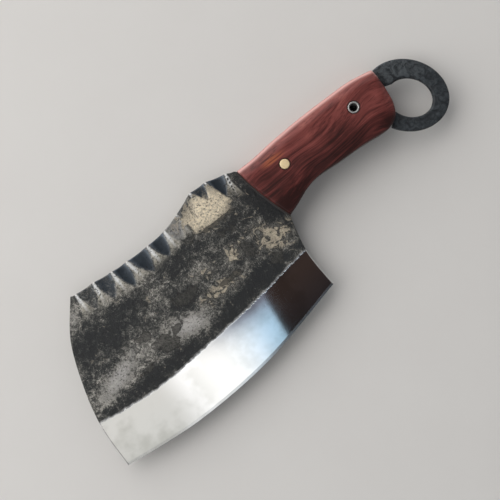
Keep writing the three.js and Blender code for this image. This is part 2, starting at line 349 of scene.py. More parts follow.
def grid_faces(index):
    """Four-sided faces between the points of a grid, given by their numbers."""
    a, b = index[:-1, :-1].ravel(), index[1:, :-1].ravel()
    c, d = index[1:, 1:].ravel(), index[:-1, 1:].ravel()
    return np.stack([a, b, c, d], axis=1)


def closed(faces, count):
    """The faces of an upper sheet, those of a lower sheet whose points follow in the same order, and walls
    between the two along every edge that only one face uses."""
    edges = np.vstack([faces[:, [0, 1]], faces[:, [1, 2]], faces[:, [2, 3]], faces[:, [3, 0]]])
    _, where, uses = np.unique(np.sort(edges, axis=1), axis=0, return_index=True, return_counts=True)
    start, finish = edges[where[uses == 1]].T
    walls = np.stack([finish, start, start + count, finish + count], 1)
    return np.vstack([faces, faces[:, ::-1] + count, walls]).tolist()


def drill_for_pins(obj):
    """Cuts the holes of the brass pin and of the lanyard tube straight through an object."""
    for centre, radius in (BRASS_PIN, LANYARD_TUBE):
        hole = (radius + PIN_GAP) * MM
        bm = bmesh.new()
        bmesh.ops.create_cone(
            bm, cap_ends=True, segments=ROUND_SEGMENTS, radius1=hole, radius2=hole, depth=DRILL_LENGTH * MM
        )
        mesh = bpy.data.meshes.new("drill")
        bm.to_mesh(mesh)
        bm.free()
        drill = bpy.data.objects.new("drill", mesh)
        bpy.context.scene.collection.objects.link(drill)
        drill.location = in_frame(centre, MID_PLANE)
        cut = obj.modifiers.new("drill", "BOOLEAN")
        cut.operation = "DIFFERENCE"
        cut.solver = "EXACT"
        cut.object = drill
        bpy.context.view_layer.update()
        done = bpy.data.meshes.new_from_object(obj.evaluated_get(bpy.context.evaluated_depsgraph_get()))
        obj.modifiers.clear()
        old = obj.data
        obj.data = done
        bpy.data.meshes.remove(old)
        bpy.data.objects.remove(drill)
        done.set_sharp_from_angle(angle=math.radians(SHARP_ANGLE))


# ---------------------------------------------------------------- the forging
def coons(bottom, top, left, right, u, t):
    """Points inside four border lines: u runs along bottom and top, t along left and right."""
    uu, tt = u[:, None, None], t[None, :, None]
    rows = bottom[:, None] * (1 - tt) + top[:, None] * tt
    first = left[None] - (bottom[0] * (1 - tt) + top[0] * tt)
    last = right[None] - (bottom[-1] * (1 - tt) + top[-1] * tt)
    return rows + (1 - uu) * first + uu * last


def between(start, finish, share):
    """Points between two lines, at shares of the way from one to the other."""
    return start[:, None] * (1 - share[..., None]) + finish[:, None] * share[..., None]


def distances(points, others):
    """How far the points of a grid lie from one row or one column of it."""
    return np.hypot(*(points - others).transpose(2, 0, 1))


def rounding(distance, radius):
    """How far a face drops at a distance in from a rounded rim."""
    inside = np.clip(distance / radius, 0, 1)
    return radius * (1 - np.sqrt(1 - (1 - inside) ** 2))


def ridge_share(b):
    """Share of the room between two dents that their ridge takes, at a share of the dents' reach."""
    return RIDGE_SHARE + RIDGE_GAIN * np.clip(b, 0, 1) ** 2


def dents(x, y):
    """Depth of the hammered dents in mm, how near a point is to a ridge (1 on it, 0 midway to the next), how
    far it lies from the spine as a share of the dents' reach, and how dark its dent is."""
    spine = spine_line()
    from_spine = np.interp(x, spine[:, 0], spine[:, 1]) - y
    wander = fractal(x, y, size=9, seed=4.0)
    depth, near, dark = np.zeros_like(x), np.zeros_like(x), np.zeros_like(x)
    reach = np.full_like(x, DENT_REACH)
    for i, (low, high) in enumerate(zip(RIDGES, RIDGES[1:])):
        length = (low[1] - low[3] + high[1] - high[3]) / 2 + wander
        b = np.clip(from_spine / length, 0, 1)
        left = low[0] + (low[2] - low[0]) * b
        right = high[0] + (high[2] - high[0]) * b
        share = (x - left) / (right - left)
        inside = (share >= 0) & (share < 1)
        cusp = np.abs(2 * share - 1)
        bowl = np.clip(1 - cusp / (1 - ridge_share(b)), 0, 1)
        depth = np.where(inside, DENT_DEPTHS[i] * (1 - (1 - bowl) ** 2.2) * (1 - b) ** 0.8, depth)
        near = np.where(inside, cusp, near)
        dark = np.where(inside, DENT_SHADES[i], dark)
        reach = np.where(inside, length, reach)
    for end, way in ((RIDGES[0], -1), (RIDGES[-1], 1)):
        length = end[1] - end[3]
        b = np.clip(from_spine / length, 0, 1)
        away = (x - end[0] - (end[2] - end[0]) * b) * way
        near = np.where(away >= 0, np.clip(1 - away / END_RIDGE_WIDTH, 0, 1), near)
        reach = np.where(away >= 0, length, reach)
    return depth, near, from_spine / reach, dark


def blade_grid():
    """The blade's points, in columns from the front end to the heel and rows from the edge to the spine, with
    the bevel rows' shares of its width and the upper rows' shares of the wood's front."""
    edge = catmull([BLADE_TIP, *EDGE_BELLY, HEEL])
    grind = catmull(GRIND_LINE)
    front_low, front_high = split_at(catmull([SPINE_FRONT, *FRONT_END, BLADE_TIP])[::-1], grind[0])
    choil_low, choil_high = split_at(catmull([HEEL, *CHOIL, HANDLE_BOTTOM[0]]), grind[-1])
    grind[0], grind[-1] = front_high[0], choil_high[0]
    wood_front = np.array([HANDLE_BOTTOM[0], HANDLE_TOP[0]], float)

    u = crowded(BLADE_COLUMNS, lengths(edge)[-1], BLADE_RIM, BLADE_RIM)
    low = crowded(BEVEL_ROWS, BEVEL_WIDTH, EDGE_RIM)
    lower = coons(along(edge, u), along(grind, u), along(front_low, low), along(choil_low, low), u, low)

    choil_length, wood_length = lengths(choil_high)[-1], lengths(wood_front)[-1]
    corner = choil_length / (choil_length + wood_length)
    to_wood = np.linspace(0, 1, CHOIL_ROWS + 1)
    at_wood = crowded(WOOD_ROWS, 1.1 * wood_length, (), BLADE_RIM)  # the rows are longer away from the wood
    high = np.concatenate([corner * to_wood, corner + (1 - corner) * at_wood[1:]])
    right = np.vstack([along(choil_high, to_wood), along(wood_front, at_wood[1:])])
    upper = coons(along(grind, u), along(spine_line(), u), along(front_high, high), right, u, high)
    return np.concatenate([lower, upper[:, 1:]], axis=1), low, at_wood


def blade_faces(blade, low):
    """Half the blade's thickness at each point, and the facts that its material needs there."""
    grind_row = len(low) - 1
    bevel_share = np.ones(blade.shape[:2])
    bevel_share[:, : len(low)] = low

    # distance across the grind line, positive towards the edge
    to_grind = distances(blade, blade[:, grind_row, None])
    to_grind[:, grind_row:] *= -1

    slope = (STEEL_HALF - BEVEL_EDGE_HALF) / to_grind[:, :1]
    half = STEEL_HALF - slope * (to_grind + np.sqrt(to_grind**2 + GRIND_SOFTNESS**2)) / 2
    honed = np.interp(bevel_share, [0, HONED_SHARE], [HONED_HALF, HONED_TOP_HALF])
    half = np.where(bevel_share < HONED_SHARE, honed, half)

    x, y = blade[..., 0], blade[..., 1]
    depth, ridge, reach, shade = dents(x, y)
    hammer = HAMMER_DEPTH * np.abs(fractal(x, y, size=26, seed=1.0))
    hammer = hammer + PEEN_DEPTH * np.clip(fractal(x, y, size=5, seed=2.0), 0, 1)
    rows_up = np.arange(blade.shape[1]) - grind_row
    half = half - depth * (bevel_share >= 1) - hammer * np.clip(rows_up / HAMMER_ROWS, 0, 1)

    from_choil = distances(blade, blade[-1:])
    from_choil[:, grind_row + CHOIL_ROWS + 1 :] = np.inf
    rims = (
        (distances(blade, blade[:1]), FRONT_END_ROUND),
        (from_choil, CHOIL_ROUND),
        (distances(blade, blade[:, -1:]), SPINE_ROUND),
    )
    for distance, radius in rims:
        half = np.maximum(half - rounding(distance, radius), np.minimum(half, HONED_HALF))

    facts = {
        "grind": to_grind,
        "ridge": ridge,
        "reach": reach,
        "shade": shade,
        "ring": np.zeros_like(half),
        "tang": np.zeros_like(half),
        "honed": bevel_share < HONED_SHARE,
        "gold": patches(x, y, GOLD_PATCHES),
        "pale": patches(x, y, PALE_PATCHES),
        "dark": patches(x, y, DARK_PATCHES),
        "flake": patches(x, y, FLAKES),
    }
    return half, facts


def tang_grid(at_wood):
    """The tang's points from the wood's front to its butt, with half its thickness. Only its edges show."""
    s = np.linspace(0, 1, TANG_STATIONS)
    tang = between(along(catmull(HANDLE_BOTTOM), s), along(catmull(HANDLE_TOP), s), at_wood[None])
    half = np.full(tang.shape[:2], STEEL_HALF)
    half[:, [0, -1]] -= TANG_EDGE_DROP
    return tang, half


def ring_grid(at_wood):
    """The ring's points from the butt round to its end, with half its thickness."""
    s = np.linspace(0, 1, RING_STATIONS)
    root = [HANDLE_BOTTOM[-1]]
    inner = along(np.vstack([root, ellipse_arc(RING_INNER, RING_INNER_START, RING_END_INNER)]), s)
    outer = ellipse_arc(RING_OUTER, HANDLE_TOP[-1], RING_END_OUTER)
    outer[0] = HANDLE_TOP[-1]
    outer = along(outer, s)
    # over the ring's first twelfth the rows move from the tang's places to ones that crowd towards both rims
    change = np.clip(s * 12, 0, 1)[:, None]
    share = at_wood * (1 - change) + (1 - np.cos(np.pi * at_wood)) / 2 * change
    ring = between(inner, outer, share)
    half = STEEL_HALF - rounding(distances(ring, ring[:, :1]), RING_INNER_ROUND)
    half = half - rounding(distances(ring, ring[:, -1:]), RING_OUTER_ROUND)
    half = half - RING_DIMPLE * np.abs(fractal(ring[..., 0], ring[..., 1], size=9, seed=7.0))
    return ring, np.maximum(half, RING_LEAST_HALF)


def forging():
    """Blade, tang and ring in one piece: sheets joined edge to edge, mirrored below and walled in."""
    blade, low, at_wood = blade_grid()
    half, facts = blade_faces(blade, low)
    index = np.arange(half.size).reshape(half.shape)
    vertices = [np.dstack([blade, half]).reshape(-1, 3)]
    faces = [grid_faces(index)]
    attributes = {key: [value.ravel()] for key, value in facts.items()}

    seam = index[-1, -len(at_wood) :]
    for kind, (points, thickness) in (("tang", tang_grid(at_wood)), ("ring", ring_grid(at_wood))):
        base = sum(len(v) for v in vertices)
        new = np.dstack([points, thickness])[1:]
        vertices.append(new.reshape(-1, 3))
        index = np.vstack([seam[None], base + np.arange(new[..., 0].size).reshape(new.shape[:2])])
        faces.append(grid_faces(index))
        seam = index[-1]
        # values that lie far from the bevel and from the dents
        here = {"grind": -60.0, "reach": 9.0, kind: 1.0}
        for key, values in attributes.items():
            values.append(np.full(new[..., 0].size, here.get(key, 0.0)))

    top = np.vstack(vertices)
    attributes = {key: np.tile(np.concatenate(values), 2) for key, values in attributes.items()}
    sheets = np.vstack([top, top * (1, 1, -1)])
    obj = new_object("forging_visual", sheets, closed(np.vstack(faces), len(top)), attributes, sharp=32)
    drill_for_pins(obj)
    return obj


# ---------------------------------------------------------------- the scales
def side_height(distance, land_at):
    """Height of a scale at a distance in from its side: a rounded edge, then a crown up to the flat land."""
    share = np.clip(distance / SCALE_ROUND, 0, 1)
    rounded = SCALE_WALL + (SCALE_SHOULDER - SCALE_WALL) * np.sqrt(1 - (1 - share) ** 2)
    rise = np.clip((distance - SCALE_ROUND) / (land_at - SCALE_ROUND), 0, 1)
    crown = SCALE_SHOULDER + (SCALE_THICKNESS - SCALE_SHOULDER) * (2 - rise) * rise
    return np.where(distance < SCALE_ROUND, rounded, crown)


def wood_scale(name, side):
    """One scale: side is 1 for the upper and -1 for the lower one."""
    top, bottom = catmull(HANDLE_TOP), catmull(HANDLE_BOTTOM)
    length = lengths(top)[-1]
    s = crowded(SCALE_COLUMNS, length, SCALE_RIM, SCALE_RIM)
    w = crowded(SCALE_ROWS, SCALE_DEPTH, SCALE_RIM, SCALE_RIM)
    start, finish = along(top, s), along(bottom, s)
    at = between(start, finish, w[None])
    at[..., 0] -= 4 * FRONT_BOW * (w * (1 - w))[None] * (1 - s)[:, None]

    width = np.hypot(*(finish - start).T)[:, None]
    from_butt = ((1 - s) * length)[:, None]
    drop = rounding(s * length, FRONT_CHAMFER)[:, None] + rounding(from_butt, BUTT_ROUND)
    height = np.minimum(side_height(w * width, CROWN_TOP), side_height((1 - w) * width, CROWN_BOTTOM))
    height = np.maximum(height, SCALE_WALL) - drop

    # painted highlight along the top edge and the upper part of the butt
    painted_light = np.exp(-(((w * width - HIGHLIGHT_PLACE) / HIGHLIGHT_WIDTH) ** 2))
    painted_light = np.clip(painted_light + 0.6 * np.exp(-((from_butt / HIGHLIGHT_WIDTH) ** 2)) * (w < 0.5), 0, 1)
    painted_light[-1, :] = painted_light[:, 0] = painted_light[:, -1] = 0  # the side walls get no painted highlight

    upper = np.dstack([at, SCALE_BASE + height]).reshape(-1, 3)
    lower = np.dstack([at, np.full(height.shape, SCALE_BASE)]).reshape(-1, 3)
    faces = grid_faces(np.arange(height.size).reshape(height.shape))
    vertices = np.vstack([upper, lower]) * (1, 1, side)
    edge = np.concatenate([painted_light.ravel(), np.zeros(painted_light.size)])
    obj = new_object(name, vertices, closed(faces, height.size), {"edge": edge})
    drill_for_pins(obj)
    return obj


# ---------------------------------------------------------------- the glue lines
def glue_film(name, side):
    """One film: side is 1 above the tang and -1 below it."""
    s = np.linspace(0, 1, GLUE_STATIONS)
    top, bottom = along(catmull(HANDLE_TOP), s), along(catmull(HANDLE_BOTTOM), s)
    tip, toe = top[0] - (GLUE_FRONT_BEAD, 0), bottom[0] - (GLUE_FRONT_BEAD, 0)
    front = bow(toe, (tip + toe) / 2 - (2 * FRONT_BOW, 0), tip, np.linspace(0, 1, BOW_STEPS)[:, None])
    outline = np.vstack([front, top - (0, GLUE_SHRINK), (bottom + (0, GLUE_SHRINK))[::-1]])
    inset = outline.mean(0) + (outline - outline.mean(0)) * GLUE_INSET
    levels = ((outline, STEEL_HALF), (outline, SCALE_BASE - GLUE_BEAD), (inset, SCALE_BASE))
    count = len(outline)
    vertices = np.vstack([np.column_stack([line, np.full(count, z)]) for line, z in levels]) * (1, 1, side)

    rows = np.arange(3 * count).reshape(3, count)
    sides = grid_faces(np.column_stack([rows, rows[:, 0]])).tolist()
    obj = new_object(name, vertices, sides + [rows[0, ::-1].tolist(), rows[2].tolist()])
    drill_for_pins(obj)
    return obj


# ---------------------------------------------------------------- pins
def turned(name, centre, radius, end):
    """A pin from the profile of its ends: radii and drops below the scales' flat land, from the inside out.
    One that starts on the axis closes there, and one that starts away from it gives a tube."""
    top = [(r, PIN_END - drop) for r, drop in end]
    profile = top + [(radius, PIN_SHANK), (radius, -PIN_SHANK)] + [(r, -z) for r, z in top[::-1]]
    angles = np.linspace(0, 2 * math.pi, ROUND_SEGMENTS, endpoint=False)
    vertices, rows = [], []
    for r, z in profile:
        around = angles if r else angles[:1]
        rows.append([len(vertices) + (j if r else 0) for j in range(ROUND_SEGMENTS)])
        vertices += [(centre[0] + r * math.cos(a), centre[1] + r * math.sin(a), z) for a in around]
    if end[0][0] > 0:
        rows.append(rows[0])
    faces = []
    for lower, upper in zip(rows, rows[1:]):
        for j in range(ROUND_SEGMENTS):
            k = (j + 1) % ROUND_SEGMENTS
            faces.append(tuple(dict.fromkeys([lower[j], lower[k], upper[k], upper[j]])))
    return new_object(name, vertices, faces, sharp=40)


def brass_pin():
    centre, radius = BRASS_PIN
    end = [(0, 0), (1.2, 0.01), (2.2, 0.05), (2.65, 0.09), (2.86, 0.17), (2.96, 0.29), (radius, 0.45)]
    return turned("brass_pin_visual", centre, radius, end)


def lanyard_tube():
    centre, radius = LANYARD_TUBE
    inner = [(0, 0.75), (0.04, 0.35), (0.16, 0.11), (0.36, 0.01)]
    outer = [(0.34, 0.01), (0.12, 0.09), (0, 0.25)]
    end = [(TUBE_BORE + r, drop) for r, drop in inner] + [(radius - r, drop) for r, drop in outer]
    return turned("lanyard_tube_visual", centre, radius, end)


# ---------------------------------------------------------------- node trees
class Value:
    """A number or vector that nodes work out. Numbers take part in ordinary sums."""

    def __init__(self, nodes, socket):
        self.nodes = nodes
        self.socket = socket

    def __add__(self, other):
        return self.nodes.math("ADD", self, other)

    def __sub__(self, other):
        return self.nodes.math("SUBTRACT", self, other)

    def __rsub__(self, other):
        return self.nodes.math("SUBTRACT", other, self)

    def __mul__(self, other):
        return self.nodes.math("MULTIPLY", self, other)

    __rmul__ = __mul__

    def __abs__(self):
        return self.nodes.math("ABSOLUTE", self, 0.0)


class Nodes:
    """Short ways to build the node tree of a material, the world or a lamp."""

    def __init__(self, owner):
        owner.use_nodes = True
        self.owner = owner
        self.tree = owner.node_tree

    def fill(self, node, **inputs):
        """Sets a node's inputs: i0, i1 and so on by their number, all others by their name."""
        for key, value in inputs.items():
            by_number = key[0] == "i" and key[1:].isdigit()
            socket = node.inputs[int(key[1:]) if by_number else key.replace("_", " ")]
            if isinstance(value, Value):
                self.tree.links.new(value.socket, socket)
            elif socket.type == "RGBA":
                socket.default_value = (*value, 1)
            else:
                socket.default_value = value

    def add(self, kind, output=0, settings=None, **inputs):
        """A new node, as the value of one of its outputs."""
        node = self.tree.nodes.new("ShaderNode" + kind)
        for key, value in (settings or {}).items():
            setattr(node, key, value)
        self.fill(node, **inputs)
        return Value(self, node.outputs[output])

    def math(self, operation, a, b):
        return self.add("Math", settings={"operation": operation}, i0=a, i1=b)

    def larger(self, a, b):
        return self.math("MAXIMUM", a, b)

    def step(self, value, low, high, start=0.0, finish=1.0):
        """The start value below low, the finish value above high, smooth between."""
        ends = {"From_Min": low, "From_Max": high, "To_Min": start, "To_Max": finish}
        return self.add("MapRange", settings={"interpolation_type": "SMOOTHSTEP"}, Value=value, **ends)

    def mix(self, share, a, b):
        """Colour a where the share is 0 and colour b where it is 1."""
        return self.add("Mix", 2, {"data_type": "RGBA"}, i0=share, i6=a, i7=b)

    def blend(self, share, a, b):
        """The same for plain numbers."""
        return self.add("Mix", 0, {"data_type": "FLOAT"}, i0=share, i2=a, i3=b)

    def ramp(self, value, stops):
        colour = self.add("ValToRGB", Fac=value)
        points = colour.socket.node.color_ramp.elements
        while len(points) < len(stops):
            points.new(0.5)
        for point, (place, shade) in zip(points, stops):
            point.position = place
            point.color = (*shade, 1)
        return colour

    def parts(self, vector):
        """The x, y and z of a vector."""
        outputs = self.add("SeparateXYZ", Vector=vector).socket.node.outputs
        return [Value(self, outputs[axis]) for axis in "XYZ"]

    def vector(self, x, y, z=0.0):
        return self.add("CombineXYZ", X=x, Y=y, Z=z)

    def distance(self, a, b):
        return self.add("VectorMath", "Value", {"operation": "DISTANCE"}, i0=a, i1=b)

    def position(self, stretch=(1, 1, 1), turn=0.0):
        """Place on the object in mm, stretched: a larger stretch makes finer detail along that axis."""
        spin = self.add("Mapping", Vector=self.add("TexCoord", "Object"), Rotation=(0, 0, math.radians(turn)))
        return self.add("Mapping", Vector=spin, Scale=tuple(k / MM for k in stretch))

    def noise(self, size, detail, rough, where=None, distort=0.0):
        looks = {"Scale": 1 / size, "Detail": detail, "Roughness": rough, "Distortion": distort}
        return self.add("TexNoise", "Fac", Vector=where or self.position(), **looks)

    def attribute(self, name):
        return self.add("Attribute", "Fac", {"attribute_name": name})

    def bump(self, height, distance, strength):
        return self.add("Bump", Height=height, Distance=distance, Strength=strength)

    def surface(self, **inputs):
        """Sets the inputs of a material's shader."""
        self.fill(self.tree.nodes["Principled BSDF"], **inputs)
        return self.owner


# ---------------------------------------------------------------- materials
def forged_steel_material():
    n = Nodes(bpy.data.materials.new("forged_steel"))
    grind, cusp, reach, shade = (n.attribute(k) for k in ("grind", "ridge", "reach", "shade"))
    gold, pale, dark, kept = (n.attribute(k) for k in ("gold", "pale", "dark", "flake"))
    ring, tang, honed = (n.attribute(k) for k in ("ring", "tang", "honed"))
    broad = n.noise(13, 6, 0.6, distort=0.8)
    flake = n.noise(11, 4, 0.5, distort=1.6)
    layer = n.noise(6, 5, 0.55, distort=1.3)
    middle = n.noise(4.2, 6, 0.65, distort=1.2)
    fine = n.noise(1.3, 5, 0.65)
    grit = n.noise(0.6, 3, 0.7)
    streak = n.noise(3.0, 5, 0.65, n.position((0.35, 1, 1), -8), 0.8)
    wobble = 1.7 * (middle - 0.5) + 1.1 * (fine - 0.5)

    # the forge scale, from charcoal to worn grey
    vein = 1 - n.step(abs(n.noise(5.5, 5, 0.6, distort=1.0) - 0.5), 0.0, 0.05)
    cloud = 0.4 * broad + 0.35 * middle + 0.25 * streak - 0.2 * dark + 0.16 * pale + 0.74 * (grit - 0.5)
    cloud = cloud + 0.05 * vein + 0.055 * n.step(flake, 0.485, 0.515) + 0.06 * n.step(layer, 0.53, 0.56)
    colour = n.ramp(
        cloud - 0.045,
        [
            (0.38, (0.012, 0.014, 0.016)),
            (0.46, (0.028, 0.031, 0.031)),
            (0.53, (0.085, 0.084, 0.077)),
            (0.60, (0.22, 0.215, 0.195)),
            (0.72, (0.50, 0.48, 0.44)),
        ],
    )

    # places worn paler, and dark seams round the flakes of scale
    pale_mask = n.step(pale + wobble, 0.40, 0.85) * n.blend(0.6, n.step(grit, 0.38, 0.58), 1.0)
    grey = n.mix(fine, (0.15, 0.15, 0.145), (0.44, 0.43, 0.40))
    bright_grey = n.mix(fine, (0.22, 0.22, 0.22), (0.70, 0.68, 0.66))
    colour = n.mix(pale_mask, colour, n.mix(n.step(pale, 0.75, 1.1), grey, bright_grey))
    seam = (1 - n.step(abs(flake - 0.5), 0.002, 0.012)) * n.step(broad, 0.42, 0.6)
    colour = n.mix(0.75 * seam, colour, (0.012, 0.012, 0.012))

    # dents hold dark oxide, deepened with painted shade, and a painted blue-grey sheen up their flanks
    # towards the ridges
    ragged = cusp + 0.22 * (fine - 0.5)
    inward = n.larger(reach, 0.0)
    over = ragged - (1 - RIDGE_SHARE - RIDGE_GAIN * (inward * inward))
    dent_mask = (1 - n.step(over, -0.24, 0.04)) * (1 - n.step(reach, 0.75, 1.2))
    dent_mask = dent_mask * n.step(shade + 0.5 * wobble, 0.2, 0.75)
    oxide_and_shade = n.mix(broad, (0.016, 0.022, 0.030), (0.040, 0.054, 0.070))
    # painted sheen: the dark turns blue-grey up the flanks towards the ridges
    oxide_and_shade = n.mix(0.75 * n.step(cusp, 0.35, 0.9), oxide_and_shade, (0.15, 0.18, 0.22))
    colour = n.mix(dent_mask, colour, oxide_and_shade)

    # the ridges between them are rubbed bright and carry a painted highlight, with a painted glint along
    # their cores
    speckle = n.blend(n.step(reach, 0.1, 0.6), 1.0, n.blend(0.3, n.step(fine, 0.36, 0.52), 1.0))
    ridge_mask = n.step(over, -0.05, 0.10) * (1 - n.step(reach, 0.45, 1.05)) * speckle
    ridge_mask = ridge_mask * n.step(reach, -9.0, -0.2)
    ridge_colour = n.mix(n.step(reach, 0.1, 0.7), (0.62, 0.63, 0.62), (0.42, 0.40, 0.34))
    colour = n.mix(ridge_mask, colour, ridge_colour)
    # painted glint: near-white along each ridge's core, near the spine
    painted_glint = n.step(ragged, 0.78, 1.0) * (1 - n.step(reach, 0.35, 0.95)) * n.step(reach, 0.02, 0.12)
    colour = n.mix(0.8 * painted_glint, colour, (0.86, 0.88, 0.90))

    # gold-toned steel where the scale has come off, its cream gold partly a painted reflection of warm light,
    # with a grey halo and a dark rim
    bare_dent = 1 - dent_mask
    worn = gold + 0.8 * wobble
    halo = n.step(worn, 0.10, 0.55) * n.step(grit, 0.36, 0.56) * bare_dent
    flaked = gold + 2.4 * (layer - 0.5) + 0.25 * wobble
    gold_mask = n.step(flaked, 0.36, 0.58) * n.blend(0.4, n.step(grit, 0.32, 0.48), 1.0) * bare_dent
    gold_rim = (1 - n.step(abs(flaked - 0.38), 0.02, 0.08)) * n.step(gold, 0.08, 0.25) * bare_dent
    gold_colour = n.mix(n.step(worn, 0.3, 1.1), (0.36, 0.32, 0.25), (0.90, 0.79, 0.60))
    gold_colour = n.mix(0.55 * n.step(fine, 0.42, 0.64), gold_colour, (0.20, 0.185, 0.155))
    colour = n.mix(0.6 * halo, colour, (0.21, 0.20, 0.175))
    colour = n.mix(gold_mask, colour, gold_colour)
    colour = n.mix(0.7 * gold_rim, colour, (0.016, 0.015, 0.013))

    # flakes that still hold
    island = 0.85 * kept + 1.7 * (layer - 0.5) + 0.10 * wobble
    island = island * n.step(kept, 0.05, 0.3)
    kept_rim = 1 - n.step(abs(island - 0.47), 0.02, 0.09)
    kept_colour = n.mix(n.step(fine, 0.3, 0.7), (0.016, 0.017, 0.016), (0.055, 0.053, 0.047))
    colour = n.mix(0.8 * n.step(island, 0.44, 0.52), colour, kept_colour)
    colour = n.mix(0.75 * kept_rim, colour, (0.010, 0.010, 0.010))

    # small dark pits
    pits = n.step(n.noise(1.2, 3, 0.6), 0.585, 0.655)
    colour = n.mix(0.75 * pits, colour, (0.013, 0.013, 0.013))

    # the ring keeps its blue-black scale, and painted light makes it lighter where it rises to the butt, on
    # the spine's side
    _, y, _ = n.parts(n.add("TexCoord", "Object"))
    painted_light = n.step(y, 22 * MM, 46 * MM) * n.step(middle, 0.38, 0.62)
    ring_colour = n.mix(n.step(middle, 0.35, 0.75), (0.010, 0.013, 0.017), (0.060, 0.074, 0.084))
    colour = n.mix(ring, colour, n.mix(0.55 * painted_light, ring_colour, (0.11, 0.125, 0.135)))

    # the tang's edges are sanded flush with the wood
    sanding = n.noise(0.5, 3, 0.6, n.position((0.05, 0.05, 1)))
    colour = n.mix(tang, colour, n.mix(sanding, (0.20, 0.195, 0.19), (0.42, 0.415, 0.40)))

    # the ground bevel, with a soft ragged upper border
    bevel = n.step(grind + 3.2 * (n.noise(4.0, 5, 0.65) - 0.5), -0.9, 0.9)
    stain = n.noise(24, 4, 0.5)
    colour = n.mix(bevel, colour, n.mix(n.step(stain, 0.38, 0.6), (0.60, 0.60, 0.585), (0.78, 0.78, 0.78)))

    bare = n.larger(ridge_mask, 0.7 * n.larger(gold_mask, pale_mask))
    clean = n.larger(bevel, tang)
    metal = n.blend(clean, n.blend(bare, n.blend(dent_mask, 0.2, 0.5), 0.45), 1.0)
    rough = n.blend(dent_mask, n.blend(middle, 0.38, 0.6), n.blend(fine, 0.24, 0.34))
    rough = n.blend(tang, n.blend(bare, rough, 0.38), n.blend(sanding, 0.32, 0.5))
    rough = n.blend(bevel, rough, n.blend(honed, n.blend(stain, 0.035, 0.07), 0.22))
    relief = 1.4 * middle - 0.5 * pits + 0.35 * grit - 0.4 * n.larger(seam, kept_rim)
    relief = relief * (1 - 0.75 * dent_mask) * (1 - clean)
    normal = n.bump(relief, 0.35 * MM, 0.9)
    return n.surface(Base_Color=colour, Metallic=metal, Roughness=rough, Normal=normal)


def wood_material(name):
    n = Nodes(bpy.data.materials.new(name))
    x, y, z = n.parts(n.add("TexCoord", "Object"))
    # the grain runs along the handle and bends round slow swells, which close into figure here and there
    bend = 30 * MM * (n.noise(30, 2, 0.4, n.position((0.45, 1, 1))) - 0.5)
    across = y + bend
    flow = n.vector(0.045 * x, across, z + 0.6 * bend)

    def grain(size, detail, rough):
        return n.add("TexNoise", "Fac", Vector=flow, Scale=1000 / size, Detail=detail, Roughness=rough)

    growth = grain(3.8, 5, 0.6)
    lines = grain(1.5, 4, 0.6)
    pores = n.step(grain(0.45, 2, 0.5), 0.56, 0.70)
    # painted shade and light: darker towards the bottom edge and lighter towards the top edge, the side the
    # light falls from; lighter at the butt too
    rise = n.add("MapRange", Value=y, From_Min=14 * MM, From_Max=52 * MM)
    tone = 0.55 * growth + 0.45 * lines + 0.25 * (n.noise(18, 3, 0.5) - 0.5)
    tone = tone + 0.27 * (rise - 0.62) + 0.05 * n.step(x, 75 * MM, 105 * MM)
    colour = n.ramp(
        tone,
        [
            (0.34, (0.032, 0.009, 0.008)),
            (0.43, (0.080, 0.019, 0.017)),
            (0.52, (0.152, 0.037, 0.033)),
            (0.62, (0.218, 0.057, 0.050)),
            (0.74, (0.300, 0.094, 0.075)),
        ],
    )
    # a lighter orange streak by the brass pin
    streak_middle = (STREAK[0] * MM, STREAK_STRETCH * STREAK[1] * MM, 0)
    away = n.distance(n.vector(x, STREAK_STRETCH * across), streak_middle)
    streak = (1 - n.step(away, 2 * MM, STREAK_REACH * MM)) * n.step(lines, 0.40, 0.60)
    colour = n.mix(0.8 * streak, colour, (0.40, 0.12, 0.055))
    colour = n.mix(0.45 * pores, colour, (0.016, 0.005, 0.005))
    # painted highlight: pinkish along the top edge
    colour = n.mix(n.attribute("edge") * n.blend(lines, 0.7, 1.0), colour, (0.74, 0.43, 0.40))
    # darker in a ring round each pin
    for centre, radius in (BRASS_PIN, LANYARD_TUBE):
        away = n.distance(n.vector(x, y), in_frame(centre, 0))
        round_pin = 1 - n.step(away, (radius + 0.1) * MM, (radius + 1.2) * MM)
        colour = n.mix(0.8 * round_pin, colour, (0.014, 0.008, 0.007))
    return n.surface(
        Base_Color=colour,
        Roughness=n.blend(growth, 0.38, 0.54),
        Normal=n.bump(0.4 * lines - pores, 0.08 * MM, 0.4),
        Specular_IOR_Level=0.24,
        Coat_Weight=0.05,
        Coat_Roughness=0.3,
    )


def sanded_metal(name, mottling, turn, colours, metallic, smoothest):
    """Metal sanded one way, with scratches at a turn in degrees and mottling of a size in mm."""
    n = Nodes(bpy.data.materials.new(name))
    scratch = n.noise(0.25, 3, 0.6, n.position((0.08, 1, 1), turn))
    return n.surface(
        Base_Color=n.mix(n.noise(mottling, 3, 0.5), *colours),
        Metallic=metallic,
        Roughness=n.blend(scratch, smoothest, smoothest + 0.2),
        Normal=n.bump(scratch, 0.03 * MM, 0.6),
    )


def brass_material():
    return sanded_metal("sanded_brass", 1.6, 40, ((0.92, 0.70, 0.38), (1.0, 0.86, 0.56)), 0.3, 0.3)


def tube_material():
    return sanded_metal("sanded_tube_steel", 1.4, -35, ((0.42, 0.42, 0.42), (0.66, 0.65, 0.64)), 0.75, 0.25)


def glue_material():
    n = Nodes(bpy.data.materials.new("dark_glue"))
    # near-black glue; where its bead shows in front of the scales it also stands in for painted shadow along
    # their front
    colour = n.mix(n.noise(1.8, 4, 0.6), (0.008, 0.006, 0.006), (0.026, 0.020, 0.018))
    normal = n.bump(n.noise(0.8, 3, 0.5), 0.06 * MM, 0.6)
    return n.surface(Base_Color=colour, Roughness=n.blend(n.noise(3, 3, 0.5), 0.25, 0.5), Normal=normal)


def floor_material():
    n = Nodes(bpy.data.materials.new("pale_floor"))
    colour = n.mix(n.noise(60, 5, 0.6), (0.70, 0.69, 0.675), (0.74, 0.735, 0.72))
    return n.surface(Base_Color=colour, Roughness=0.75)


